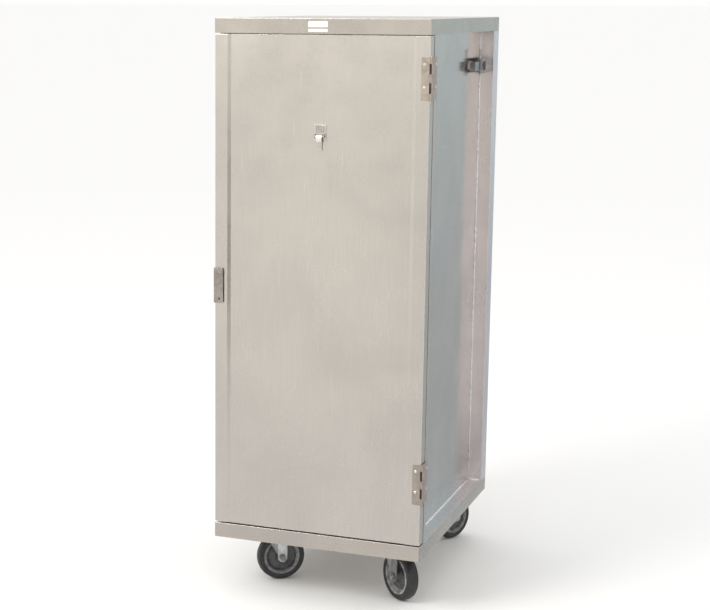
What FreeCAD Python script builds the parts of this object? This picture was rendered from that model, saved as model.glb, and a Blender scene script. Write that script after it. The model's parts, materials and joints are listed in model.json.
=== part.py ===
import FreeCAD, Part
import math
import os
import Sketcher

# Upright insulated food carrier: a folded-sheet cabinet on four swivel casters, with one
# overlay door hinged at its right front corner. Millimetres, +Z up, the front faces -Y,
# and the origin is on the floor under the middle of the whole object.

DIMENSIONS = {
    # cabinet shell
    "cabinet_width": 650.0,
    "cabinet_depth": 816.0,
    "body_height": 1570.0,
    "skirt_floor_gap": 176.0,
    "skirt_height": 45.0,
    "cap_flange": 43.5,
    "sheet_thick": 1.6,
    "side_recess": 43.5,
    "wall_thick": 38.0,
    "front_reach": 8.0,
    "rear_reach": 39.75,
    "corner_radius": 3.0,
    "channel_half": 58.0,
    "channel_thick": 3.0,
    # corner posts
    "front_post_depth": 21.0,
    "rear_post_depth": 64.0,
    # opening and lining
    "floor_build": 37.0,
    "ceiling_build": 40.0,
    "header_drop": 46.0,
    # door
    "door_thick": 38.0,
    "door_back_gap": 3.0,
    "door_bottom_gap": 4.0,
    "door_top_gap": 3.0,
    "door_side_gap": 1.5,
    "door_strip": 39.0,
    "door_slope": 10.0,
    "door_sink": 3.0,
    "gasket_width": 16.0,
    "gasket_thick": 8.4,
    "gasket_set_in": 10.0,
    "magnet_width": 12.0,
    "magnet_length": 56.0,
    "strike_thick": 2.0,
    # pan runners
    "runner_count": 17.0,
    "runner_pitch": 76.0,
    "runner_first": 70.0,
    "runner_leg": 20.0,
    "runner_thick": 2.0,
    "runner_length": 690.0,
    "runner_set_back": 22.0,
    # hinges
    "hinge_height": 121.0,
    "upper_hinge_mid": 1581.0,
    "lower_hinge_mid": 410.0,
    "pin_offset": 3.5,
    "pin_radius": 2.5,
    "pin_bore": 2.55,
    "knuckle_radius": 4.2,
    "leaf_thick": 2.0,
    "leaf_width": 27.0,
    "wrap_thick": 1.8,
    "wrap_reach": 60.0,
    # pull
    "pull_bottom": 906.0,
    "pull_height": 105.0,
    "pull_face": 30.0,
    "pull_stand": 6.0,
    "pull_thick": 2.5,
    # card clip
    "clip_width": 39.0,
    "clip_bottom": 1400.0,
    "clip_height": 45.0,
    "clip_pin_radius": 1.5,
    # door catch on the rear post
    "catch_bottom": 1571.0,
    "catch_height": 47.0,
    "catch_thick": 2.0,
    "catch_stand": 24.0,
    "catch_reach": 98.0,
    "catch_knuckle": 9.0,
    "catch_barrel": 5.0,
    "catch_pin_radius": 3.0,
    "catch_pin_above": 29.0,
    "catch_pin_below": 8.0,
    "catch_slot_radius": 14.0,
    "hook_reach": 69.0,
    "hook_tip": 16.0,
    # casters
    "caster_side_inset": 122.0,
    "caster_front_inset": 167.0,
    "caster_rear_inset": 60.0,
    "wheel_radius": 76.0,
    "tread_width": 38.0,
    "rim_radius": 57.0,
    "hub_width": 34.0,
    "hub_bore": 6.05,
    "axle_radius": 6.0,
    "caster_trail": 32.0,
    "plate_length": 114.0,
    "plate_width": 102.0,
    "plate_thick": 4.0,
    "plate_top": 188.0,
    "fork_gap": 45.0,
    "fork_thick": 4.0,
    "crown_bottom": 166.0,
    "crown_top": 173.7,
    "crown_ahead": 31.0,
    "fork_foot": 15.0,
    "race_radius": 29.0,
    "race_bottom": 174.0,
    "king_nut_bottom": 157.0,
    "king_nut_radius": 10.0,
}


class Size:
    """A length that carries its number and the sheet formula that gives it."""

    def __init__(self, text, value):
        self.text = text
        self.value = value

    def _join(self, other, sign, value):
        return Size(f"({self.text} {sign} {as_size(other).text})", value)

    def __add__(self, other):
        return self._join(other, "+", self.value + as_size(other).value)

    def __sub__(self, other):
        return self._join(other, "-", self.value - as_size(other).value)

    def __mul__(self, other):
        return self._join(other, "*", self.value * as_size(other).value)

    def __truediv__(self, other):
        return self._join(other, "/", self.value / as_size(other).value)

    def __radd__(self, other):
        return as_size(other) + self

    def __rsub__(self, other):
        return as_size(other) - self

    def __rmul__(self, other):
        return as_size(other) * self

    def __neg__(self):
        return as_size(0) - self


def as_size(number):
    return number if isinstance(number, Size) else Size(repr(float(number)), float(number))


doc = FreeCAD.newDocument("food_carrier")
sheet = doc.addObject("Spreadsheet::Sheet", "dims")
for row, (alias, number) in enumerate(DIMENSIONS.items(), start=1):
    sheet.set(f"A{row}", alias.replace("_", " "))
    sheet.set(f"B{row}", str(number))
    sheet.setAlias(f"B{row}", alias)
doc.recompute()


def dim(alias):
    return Size(f"dims.{alias}", DIMENSIONS[alias])


# Planes of the cabinet that several pieces share. Fittings reach ahead of the front and a
# trailed wheel reaches behind the back, and the origin is midway between those two.
SHEET = dim("sheet_thick")
RIGHT = dim("cabinet_width") / 2
LEFT = -RIGHT
FRONT = -(dim("cabinet_depth") + dim("rear_reach") - dim("front_reach")) / 2
BACK = FRONT + dim("cabinet_depth")
SKIRT_Z = dim("skirt_floor_gap")
DECK_Z = SKIRT_Z + dim("skirt_height")
TOP_Z = SKIRT_Z + dim("body_height")
FLANGE_Z = TOP_Z - dim("cap_flange")
UNDER_CAP_Z = TOP_Z - SHEET
FRAME_Y = FRONT + dim("door_thick") + dim("door_back_gap")
FRAME_BACK_Y = FRAME_Y + SHEET
SKIN_X = RIGHT - dim("side_recess")
LINER_X = SKIN_X - dim("wall_thick")
BACK_LINER_Y = BACK - dim("wall_thick")
FLOOR_Z = DECK_Z + dim("floor_build")
CEILING_Z = TOP_Z - dim("ceiling_build")
HEADER_Z = CEILING_Z - dim("header_drop")
REAR_POST_Y = BACK - dim("rear_post_depth")
DOOR_LEFT = LEFT + dim("door_side_gap")
DOOR_RIGHT = RIGHT - dim("door_side_gap")
DOOR_BACK_Y = FRONT + dim("door_thick")
DOOR_BOTTOM_Z = DECK_Z + dim("door_bottom_gap")
DOOR_TOP_Z = FLANGE_Z - dim("door_top_gap")
PIN_X = RIGHT + dim("pin_offset")
PIN_Y = FRONT - dim("pin_offset")

nodes = {}


def keep(obj, label):
    """Make an object one of the carrier's named pieces."""
    obj.Label = label
    nodes[label] = obj
    return obj


def bind(obj, prop, size):
    """Set a property to a size and tie it to the sheet."""
    size = as_size(size)
    if "." not in prop:
        setattr(obj, prop, size.value)
    obj.setExpression(prop, size.text)


def place(obj, x=0, y=0, z=0):
    for axis, size in zip("xyz", (x, y, z)):
        bind(obj, f"Placement.Base.{axis}", size)


def slab(name, x, y, z):
    """A rectangular block between pairs of planes."""
    box = doc.addObject("Part::Box", name)
    for prop, (low, high) in zip(("Length", "Width", "Height"), (x, y, z)):
        bind(box, prop, as_size(high) - as_size(low))
    place(box, x[0], y[0], z[0])
    return box


def keep_slab(label, x, y, z):
    """A rectangular block that is a piece by itself."""
    return keep(slab(label + "_slab", x, y, z), label)


def ordered(a, b):
    a, b = as_size(a), as_size(b)
    return (a, b) if a.value < b.value else (b, a)


AXIS_TURN = {
    "x": FreeCAD.Rotation(FreeCAD.Vector(0, 1, 0), 90),
    "y": FreeCAD.Rotation(FreeCAD.Vector(1, 0, 0), -90),
    "z": FreeCAD.Rotation(),
}


def rod(name, axis, radius, start, length, x=0, y=0, z=0):
    """A round bar that starts at the plane `start` and runs along its axis."""
    bar = doc.addObject("Part::Cylinder", name)
    bar.Placement.Rotation = AXIS_TURN[axis]
    bind(bar, "Radius", radius)
    bind(bar, "Height", length)
    at = {"x": x, "y": y, "z": z}
    at[axis] = start
    place(bar, at["x"], at["y"], at["z"])
    return bar


def fuse(name, pieces):
    joined = doc.addObject("Part::MultiFuse", name)
    joined.Shapes = pieces
    joined.Refine = True
    return joined


def cut(name, base, tool):
    left_over = doc.addObject("Part::Cut", name)
    left_over.Base = base
    left_over.Tool = tool
    left_over.Refine = True
    return left_over


def group(name, pieces):
    """Identical separate pieces that share one node."""
    together = doc.addObject("Part::Compound", name)
    together.Links = pieces
    return together


def body_with(name):
    return doc.addObject("PartDesign::Body", name)


def origin_plane(body, role):
    return next(f for f in body.Origin.OriginFeatures if f.Role == role)


def sketch_on(body, name, role, lift=0):
    """An empty sketch on one of the body's origin planes, lifted along its normal."""
    sketch = body.newObject("Sketcher::SketchObject", name)
    sketch.AttachmentSupport = (origin_plane(body, role), [""])
    sketch.MapMode = "FlatFace"
    bind(sketch, "AttachmentOffset.Base.z", lift)
    return sketch


def tie_point(sketch, item, end, u, v):
    """Hold one point of the sketch at a distance from its origin, both ways."""
    for kind, size in (("DistanceX", as_size(u)), ("DistanceY", as_size(v))):
        index = sketch.addConstraint(Sketcher.Constraint(kind, -1, 1, item, end, size.value))
        sketch.setExpression(f"Constraints[{index}]", size.text)


def corners(x, y):
    """The four corners of a rectangle, in order."""
    return [(x[0], y[0]), (x[1], y[0]), (x[1], y[1]), (x[0], y[1])]


def draw_outline(sketch, points):
    """A closed outline of straight lines through the points."""
    spots = [FreeCAD.Vector(as_size(u).value, as_size(v).value, 0) for u, v in points]
    count = len(spots)
    first = sketch.GeometryCount
    for i in range(count):
        sketch.addGeometry(Part.LineSegment(spots[i], spots[(i + 1) % count]), False)
    for i in range(count):
        following = first + (i + 1) % count
        sketch.addConstraint(Sketcher.Constraint("Coincident", first + i, 2, following, 1))
        tie_point(sketch, first + i, 1, *points[i])


def draw_circle(sketch, u, v, radius):
    u, v, radius = as_size(u), as_size(v), as_size(radius)
    centre = FreeCAD.Vector(u.value, v.value, 0)
    item = sketch.addGeometry(Part.Circle(centre, FreeCAD.Vector(0, 0, 1), radius.value), False)
    tie_point(sketch, item, 3, u, v)
    index = sketch.addConstraint(Sketcher.Constraint("Radius", item, radius.value))
    sketch.setExpression(f"Constraints[{index}]", radius.text)


def feature(body, kind, name, sketch, length=None, backwards=False, through=False):
    """A pad or pocket of the sketch."""
    made = body.newObject(f"PartDesign::{kind}", name)
    made.Profile = sketch
    made.Reversed = backwards
    if through:
        made.Type = "ThroughAll"
    else:
        bind(made, "Length", length)
    sketch.Visibility = False
    return made


def folded_tray(label, z):
    """A sheet tray over the whole footprint, closed on top, with rounded upright corners."""
    body = body_with(label)
    outline = sketch_on(body, label + "_outline", "XY_Plane")
    draw_outline(outline, corners((LEFT, RIGHT), (FRONT, BACK)))
    pad = feature(body, "Pad", label + "_block", outline, z[1] - z[0])
    doc.recompute()
    uprights = [
        f"Edge{i}"
        for i, edge in enumerate(pad.Shape.Edges, start=1)
        if abs(edge.tangentAt(edge.FirstParameter).z) > 0.99
    ]
    rounded = body.newObject("PartDesign::Fillet", label + "_corners")
    rounded.Base = (pad, uprights)
    bind(rounded, "Radius", dim("corner_radius"))
    hollow = sketch_on(body, label + "_hollow", "XY_Plane")
    draw_outline(hollow, corners((LEFT + SHEET, RIGHT - SHEET), (FRONT + SHEET, BACK - SHEET)))
    feature(body, "Pocket", label + "_inside", hollow, z[1] - z[0] - SHEET, backwards=True)
    place(body, 0, 0, z[0])
    return keep(body, label)


def bar_of_profile(label, points, z):
    """A folded section standing upright: its plan outline padded from z[0] to z[1]."""
    body = body_with(label)
    outline = sketch_on(body, label + "_section", "XY_Plane")
    draw_outline(outline, points)
    feature(body, "Pad", label + "_length", outline, z[1] - z[0])
    place(body, 0, 0, z[0])
    return keep(body, label)


def build_shell():
    """Base tray, top cap, posts, skins, liners and insulation."""
    inside = (LEFT + SHEET, RIGHT - SHEET)
    folded_tray("base_tray", (SKIRT_Z, DECK_Z))
    folded_tray("top_cap", (FLANGE_Z, TOP_Z))

    channel_low = dim("plate_top")
    channel_top = DECK_Z - SHEET
    wall = dim("channel_thick")
    for label, middle in (
        ("front_caster_channel", FRONT + dim("caster_front_inset")),
        ("rear_caster_channel", BACK - dim("caster_rear_inset")),
    ):
        ahead, behind = middle - dim("channel_half"), middle + dim("channel_half")
        web = slab(label + "_web", inside, (ahead, behind), (channel_low, channel_low + wall))
        near = slab(label + "_near_lip", inside, (ahead, ahead + wall), (channel_low, channel_top))
        far = slab(label + "_far_lip", inside, (behind - wall, behind), (channel_low, channel_top))
        keep(fuse(label, [web, near, far]), label)

    build_posts()
    deep = (FRAME_BACK_Y, BACK_LINER_Y)
    full_z = (DECK_Z, UNDER_CAP_Z)
    lined_z = (FLOOR_Z, CEILING_Z)
    side_slabs = []
    for side, sign in (("left", -1), ("right", 1)):
        outer = ordered(sign * SKIN_X, sign * (SKIN_X - SHEET))
        foam = ordered(sign * (SKIN_X - SHEET), sign * (LINER_X + SHEET))
        inner = ordered(sign * (LINER_X + SHEET), sign * LINER_X)
        keep_slab(side + "_side_skin", outer, (FRAME_BACK_Y, BACK - SHEET), full_z)
        side_slabs.append(slab(side + "_wall_insulation", foam, deep, full_z))
        keep_slab(side + "_liner", inner, deep, lined_z)
    keep(group("side_insulation_pair", side_slabs), "side_insulation")

    across = (-(SKIN_X - SHEET), SKIN_X - SHEET)
    inner_back = BACK_LINER_Y + SHEET
    keep_slab("back_skin", (-SKIN_X, SKIN_X), (BACK - SHEET, BACK), (DECK_Z, FLANGE_Z))
    keep_slab("back_insulation", across, (inner_back, BACK - SHEET), full_z)
    keep_slab("back_liner", across, (BACK_LINER_Y, inner_back), lined_z)

    cavity = (-(LINER_X + SHEET), LINER_X + SHEET)
    keep_slab("base_insulation", cavity, deep, (DECK_Z, FLOOR_Z - SHEET))
    keep_slab("floor_liner", cavity, deep, (FLOOR_Z - SHEET, FLOOR_Z))
    keep_slab("roof_insulation", cavity, deep, (CEILING_Z + SHEET, UNDER_CAP_Z))
    keep_slab("ceiling_liner", cavity, deep, (CEILING_Z, CEILING_Z + SHEET))

    ring = slab("front_frame_sheet", (-SKIN_X, SKIN_X), (FRAME_Y, FRAME_BACK_Y), full_z)
    mouth = (FRAME_Y - 1, FRAME_BACK_Y + 1)
    hole = slab("front_frame_hole", (-LINER_X, LINER_X), mouth, (FLOOR_Z, HEADER_Z))
    keep(cut("front_frame", ring, hole), "front_frame")


def build_posts():
    """Four upright corner channels, each open towards the cabinet's wall."""
    reach = dim("side_recess")
    for side, sign in (("left", -1), ("right", 1)):
        out = sign * RIGHT
        root = sign * SKIN_X
        skin = sign * (RIGHT - SHEET)
        front_y, rear_y = FRAME_Y, FRAME_Y + dim("front_post_depth")
        section = [(root, front_y), (out, front_y), (out, rear_y), (root, rear_y)]
        section += [(root, rear_y - SHEET), (skin, rear_y - SHEET)]
        section += [(skin, front_y + SHEET), (root, front_y + SHEET)]
        bar_of_profile(f"front_{side}_post", section, (DECK_Z, FLANGE_Z))

        section = [(root, REAR_POST_Y), (out, REAR_POST_Y), (out, BACK), (root, BACK)]
        section += [(root, BACK - SHEET), (skin, BACK - SHEET)]
        section += [(skin, REAR_POST_Y + SHEET), (root, REAR_POST_Y + SHEET)]
        bar_of_profile(f"rear_{side}_post", section, (DECK_Z, FLANGE_Z))


def build_runners():
    """Angle runners on both liners, each with its ledge on top, for full-size pans."""
    start = FRAME_BACK_Y + dim("runner_set_back")
    along = (start, start + dim("runner_length"))
    leg, thick = dim("runner_leg"), dim("runner_thick")
    for side, sign in (("left", -1), ("right", 1)):
        wall = sign * LINER_X
        angles = []
        for i in range(int(DIMENSIONS["runner_count"])):
            name = f"{side}_runner_{i + 1}"
            top = FLOOR_Z + dim("runner_first") + dim("runner_pitch") * i
            ledge_x, foot_x = ordered(wall, wall - sign * leg), ordered(wall, wall - sign * thick)
            ledge = slab(name + "_ledge", ledge_x, along, (top - thick, top))
            foot = slab(name + "_leg", foot_x, along, (top - leg, top - thick))
            angles.append(fuse(name, [ledge, foot]))
        keep(group(side + "_pan_runners", angles), side + "_pan_runners")


GASKET_CLEAR = 0.3
GASKET_Y = FRAME_Y - GASKET_CLEAR - dim("gasket_thick")
MAGNET_FEET = (620, 1300)


def build_door():
    """The hollow foam-filled door: outer pan, inner pan, foam, gasket and magnets."""
    strip, slope, sink = dim("door_strip"), dim("door_slope"), dim("door_sink")
    inside = (DOOR_LEFT + SHEET, DOOR_RIGHT - SHEET)
    face = [(DOOR_LEFT, FRONT), (DOOR_LEFT + strip, FRONT)]
    face += [(DOOR_LEFT + strip + slope, FRONT + sink), (DOOR_RIGHT - strip - slope, FRONT + sink)]
    face += [(DOOR_RIGHT - strip, FRONT), (DOOR_RIGHT, FRONT)]
    behind = [(x, y + SHEET) for x, y in face[1:-1]]
    behind = [(inside[0], FRONT + SHEET)] + behind + [(inside[1], FRONT + SHEET)]
    section = [(DOOR_LEFT, DOOR_BACK_Y)] + face + [(DOOR_RIGHT, DOOR_BACK_Y)]
    section += [(inside[1], DOOR_BACK_Y)] + behind[::-1] + [(inside[0], DOOR_BACK_Y)]
    tall = DOOR_TOP_Z - DOOR_BOTTOM_Z

    skin = body_with("door_outer_pan")
    outline = sketch_on(skin, "door_section", "XY_Plane")
    draw_outline(outline, section)
    feature(skin, "Pad", "door_face_and_edges", outline, tall)
    for end, lift in (("bottom", 0), ("top", tall - SHEET)):
        flange = sketch_on(skin, f"door_{end}_edge", "XY_Plane", lift)
        draw_outline(flange, behind + [(inside[1], DOOR_BACK_Y), (inside[0], DOOR_BACK_Y)])
        feature(skin, "Pad", f"door_{end}_flange", flange, SHEET)
    place(skin, 0, 0, DOOR_BOTTOM_Z)
    keep(skin, "door_outer_pan")

    upright = (DOOR_BOTTOM_Z + SHEET, DOOR_TOP_Z - SHEET)
    keep_slab("door_inner_sheet", inside, (GASKET_Y - SHEET, GASKET_Y), upright)
    keep_slab("door_insulation", inside, (FRONT + sink + SHEET, GASKET_Y - SHEET), upright)

    seal_in = dim("gasket_set_in")
    seal_out = seal_in + dim("gasket_width")
    seal_y = (GASKET_Y, FRAME_Y - GASKET_CLEAR)
    band = slab("gasket_block", (-LINER_X - seal_out, LINER_X + seal_out), seal_y,
                (FLOOR_Z - seal_out, HEADER_Z + seal_out))
    window = slab("gasket_window", (-LINER_X - seal_in, LINER_X + seal_in),
                  (GASKET_Y - 1, FRAME_Y + 1), (FLOOR_Z - seal_in, HEADER_Z + seal_in))
    keep(cut("door_gasket_ring", band, window), "door_gasket")

    magnet_gap, strike_margin = 0.4, 6
    strike_front = FRAME_Y - dim("strike_thick")
    magnet_left = LEFT + 17
    magnet_x = (magnet_left, magnet_left + dim("magnet_width"))
    strike_x = (magnet_x[0] - 2, magnet_x[1] + 2)
    magnets, strikes = [], []
    for i, low in enumerate(MAGNET_FEET):
        high = low + dim("magnet_length")
        magnet_y = (GASKET_Y, strike_front - magnet_gap)
        magnets.append(slab(f"magnet_{i + 1}", magnet_x, magnet_y, (low, high)))
        strike_z = (low - strike_margin, high + strike_margin)
        strikes.append(slab(f"strike_{i + 1}", strike_x, (strike_front, FRAME_Y), strike_z))
    keep(group("door_magnet_pair", magnets), "door_magnets")
    keep(group("strike_plate_pair", strikes), "magnet_strikes")


def round_head_screw(name, axis, head_start, head_radius, head_height, shank_length, inward, **at):
    """A screw whose head stands on a face; `inward` is +1 or -1, the way its shank points."""
    head_low = head_start if inward > 0 else head_start - head_height
    shank_low = head_start + head_height if inward > 0 else head_start - head_height - shank_length
    head = rod(name + "_head", axis, head_radius, head_low, head_height, **at)
    shank = rod(name + "_shank", axis, head_radius / 2, shank_low, shank_length, **at)
    return fuse(name, [head, shank])


# Knuckle spans up one hinge, from its foot: three belong to the door, two to the cabinet.
DOOR_KNUCKLES = ((0, 20), (50, 74), (103, 121))
FRAME_KNUCKLES = ((20.3, 49.7), (74.3, 102.7))
HINGE_SCREW_RISES = (40, -23)


def hinge_leaf(name, plate, link_x, link_y, spans, foot):
    """A leaf plate with rolled knuckles about the hinge pin."""
    pieces = [plate]
    for i, (low, high) in enumerate(spans):
        start, knuckle = foot + low, f"{name}_knuckle_{i}"
        pieces.append(slab(f"{name}_link_{i}", link_x, link_y, (start, foot + high)))
        pieces.append(rod(knuckle, "z", dim("knuckle_radius"), start, high - low, PIN_X, PIN_Y))
    bore_length = dim("hinge_height") + 2
    bore = rod(name + "_bore", "z", dim("pin_bore"), foot - 1, bore_length, PIN_X, PIN_Y)
    return cut(name, fuse(name + "_solid", pieces), bore)


def build_hinges():
    """Two wrap-round hinges at the right front corner; returns the door's leaf screws."""
    door_leaves, frame_leaves, pins, door_screws, frame_screws = [], [], [], [], []
    slot_x = RIGHT - 3
    wrap_start = FRONT + 1.5
    leaf_y = (FRONT - dim("leaf_thick"), FRONT)
    wrap_x = (RIGHT, RIGHT + dim("wrap_thick"))
    end_gap, end_cap = 0.3, 2
    for place_name in ("upper", "lower"):
        middle = dim(place_name + "_hinge_mid")
        foot = middle - dim("hinge_height") / 2
        tall = (foot, foot + dim("hinge_height"))
        name = place_name + "_door_leaf"
        plate = slab(name + "_plate", (RIGHT - dim("leaf_width"), slot_x), leaf_y, tall)
        door_leaves.append(hinge_leaf(name, plate, (slot_x, PIN_X), leaf_y, DOOR_KNUCKLES, foot))
        name = place_name + "_frame_leaf"
        plate = slab(name + "_plate", wrap_x, (wrap_start, FRONT + dim("wrap_reach")), tall)
        link_y = (PIN_Y, wrap_start)
        frame_leaves.append(hinge_leaf(name, plate, wrap_x, link_y, FRAME_KNUCKLES, foot))

        name = place_name + "_pin"
        shaft = rod(name + "_shaft", "z", dim("pin_radius"), tall[0] - end_gap,
                    dim("hinge_height") + 2 * end_gap, PIN_X, PIN_Y)
        caps = [
            rod(f"{name}_cap_{i}", "z", dim("knuckle_radius"), start, end_cap, PIN_X, PIN_Y)
            for i, start in enumerate((tall[0] - end_gap - end_cap, tall[1] + end_gap))
        ]
        pins.append(fuse(name, [shaft] + caps))

        for i, rise in enumerate(HINGE_SCREW_RISES):
            door_screws.append(round_head_screw(
                f"{place_name}_leaf_screw_{i}", "y", leaf_y[0] - 2.2, 4.2, 2.2, 8, 1,
                x=RIGHT - 17, z=middle + rise))
            frame_screws.append(round_head_screw(
                f"{place_name}_wrap_screw_{i}", "x", wrap_x[1] + 1.5, 4, 1.5, 6, -1,
                y=FRAME_Y + 10, z=middle + rise))
    keep(group("door_leaf_pair", door_leaves), "door_hinge_leaves")
    keep(group("frame_leaf_pair", frame_leaves), "frame_hinge_leaves")
    keep(group("pin_pair", pins), "hinge_pins")
    keep(group("frame_leaf_screws", frame_screws), "frame_hinge_screws")
    return door_screws


def build_pull():
    """The angle pull round the door's free edge; returns its two screws."""
    thick, stand = dim("pull_thick"), dim("pull_stand")
    tall = (dim("pull_bottom"), dim("pull_bottom") + dim("pull_height"))
    edge = DOOR_LEFT - thick
    flange_y = (FRONT - stand, FRONT - stand + thick)
    cheek = slab("pull_cheek", (edge, DOOR_LEFT), (flange_y[0], FRONT + 26), tall)
    front = slab("pull_front", (DOOR_LEFT, edge + dim("pull_face")), flange_y, tall)
    screw_in, boss_radius = 13, 5
    bosses, screws = [], []
    for i, height in enumerate((tall[0] + screw_in, tall[1] - screw_in)):
        spot = {"x": DOOR_LEFT + 15, "z": height}
        bosses.append(rod(f"pull_boss_{i}", "y", boss_radius, flange_y[1], stand - thick, **spot))
        screws.append(round_head_screw(
            f"pull_screw_{i}", "y", flange_y[0] - 2.2, 4.2, 2.2, 11, 1, **spot))
    keep(fuse("pull_solid", [cheek, front] + bosses), "door_pull")
    return screws


def build_clip():
    """The card clip on the door's panel: a plate with two ears, a pin and a sprung jaw."""
    panel_y = FRONT + dim("door_sink")
    low = dim("clip_bottom")
    middle = 1.5
    half = dim("clip_width") / 2
    plate_thick, ear_thick, jaw_thick = 1.5, 1.5, 1.4
    plate_y = (panel_y - plate_thick, panel_y)
    plate = slab("clip_plate", (middle - half, middle + half), plate_y, (low, low + dim("clip_height")))
    ear_y, ear_z = (FRONT - 8, plate_y[0]), (low + 6, low + 20)
    ears = [
        slab(f"clip_ear_{i}", (middle + x, middle + x + ear_thick), ear_y, ear_z)
        for i, x in enumerate((-14, 12.5))
    ]
    keep(fuse("clip_bracket_solid", [plate] + ears), "clip_bracket")

    pin_radius, pin_half = dim("clip_pin_radius"), 15.5
    pin_y, pin_z = FRONT - 4.5, low + 13
    pin = rod("clip_pin_rod", "x", pin_radius, middle - pin_half, 2 * pin_half, y=pin_y, z=pin_z)
    keep(pin, "clip_pin")

    jaw_front, foot = pin_y - 3, low - 27
    jaw_y = (jaw_front, jaw_front + jaw_thick)
    tongue_x, thumb_x = (middle - 7, middle + 7), (middle - 10.5, middle + 10.5)
    roll_half, bore_half = 12.2, 13
    roll = rod("clip_roll", "x", 3, middle - roll_half, 2 * roll_half, y=pin_y, z=pin_z)
    bore = rod("clip_roll_bore", "x", pin_radius + 0.05, middle - bore_half, 2 * bore_half,
               y=pin_y, z=pin_z)
    pieces = [
        roll,
        slab("clip_tongue", tongue_x, jaw_y, (foot, pin_z)),
        slab("clip_nip", tongue_x, (jaw_front, panel_y - 0.5), (foot, foot + 2)),
        slab("clip_thumb", thumb_x, jaw_y, (pin_z, pin_z + 17)),
    ]
    keep(cut("clip_jaw_solid", fuse("clip_jaw_blank", pieces), bore), "clip_jaw")


def build_catch():
    """A bracket ahead of the rear right post with a swing-out hook that holds the door back."""
    thick, knuckle = dim("catch_thick"), dim("catch_knuckle")
    low = dim("catch_bottom")
    top = low + dim("catch_height")
    pin_x = SKIN_X + dim("catch_stand")
    pin_y = REAR_POST_Y - dim("catch_reach")
    radius = dim("catch_pin_radius")
    web_x = (pin_x - thick / 2, pin_x + thick / 2)
    web_end = pin_y + dim("catch_barrel") + 1

    slot_radius = dim("catch_slot_radius")
    slot_z = (low + top) / 2
    slot_x = (web_x[0] - 1, web_x[1] + 1)
    slot_y = (REAR_POST_Y - 58, REAR_POST_Y - 38)
    slot = [slab("catch_slot_middle", slot_x, slot_y, (slot_z - slot_radius, slot_z + slot_radius))]
    for i, y in enumerate(slot_y):
        slot.append(rod(f"catch_slot_end_{i}", "x", slot_radius, slot_x[0], thick + 2, y=y, z=slot_z))
    web = slab("catch_web", web_x, (web_end, REAR_POST_Y), (low, top))
    pieces = [
        cut("catch_slotted_web", web, fuse("catch_slot", slot)),
        slab("catch_foot", (SKIN_X + 3, web_x[1]), (REAR_POST_Y - thick, REAR_POST_Y), (low, top)),
        slab("catch_lip", (pin_x - 9, web_x[1]), (web_end, REAR_POST_Y), (top - thick, top)),
    ]
    for i, start in enumerate((low, top - knuckle)):
        pieces.append(slab(f"catch_link_{i}", web_x, (pin_y, web_end), (start, start + knuckle)))
        pieces.append(rod(f"catch_knuckle_{i}", "z", dim("catch_barrel"), start, knuckle, pin_x, pin_y))
    pressed = radius - 0.02
    hole = rod("catch_pin_hole", "z", pressed, low - 1, dim("catch_height") + 2, pin_x, pin_y)
    keep(cut("catch_bracket_solid", fuse("catch_bracket_blank", pieces), hole), "catch_bracket")

    below = dim("catch_pin_below")
    length = below + dim("catch_height") + dim("catch_pin_above")
    keep(rod("catch_pin_rod", "z", radius, low - below, length, pin_x, pin_y), "catch_pin")

    clear = 0.4
    hook_z = (low + knuckle + clear, top - knuckle - clear)
    tall = hook_z[1] - hook_z[0]
    tip_y = (pin_y - dim("hook_reach"), pin_y - dim("hook_reach") + thick)
    blank = fuse("hook_blank", [
        rod("hook_barrel", "z", dim("catch_barrel"), hook_z[0], tall, pin_x, pin_y),
        slab("hook_arm", web_x, (tip_y[0], pin_y), hook_z),
        slab("hook_tip", (pin_x - dim("hook_tip"), web_x[1]), tip_y, hook_z),
    ])
    bore = rod("hook_bore", "z", radius + 0.05, hook_z[0] - 1, tall + 2, pin_x, pin_y)
    keep(cut("hook_solid", blank, bore), "catch_hook")


# Where each caster stands and which way its wheel trails, in degrees from +X.
CASTERS = {
    "front_left": (-1, FRONT + dim("caster_front_inset"), 35.0),
    "front_right": (1, FRONT + dim("caster_front_inset"), -40.0),
    "rear_left": (-1, BACK - dim("caster_rear_inset"), 150.0),
    "rear_right": (1, BACK - dim("caster_rear_inset"), 62.0),
}


def stand_at(obj, rotation, x, y, z):
    obj.Placement.Rotation = rotation
    place(obj, x, y, z)
    return obj


def revolved(name, outline):
    """A body turned about its own Z axis from an outline of (radius, height) points."""
    body = body_with(name)
    sketch = sketch_on(body, name + "_outline", "XZ_Plane")
    draw_outline(sketch, outline)
    turned = body.newObject("PartDesign::Revolution", name + "_turned")
    turned.Profile = sketch
    turned.ReferenceAxis = (sketch, ["V_Axis"])
    turned.Angle = 360
    sketch.Visibility = False
    return body


def mirrored_outline(half):
    """An outline from its upper half, mirrored across height zero."""
    return half + [(radius, -height) for radius, height in half[::-1]]


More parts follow.
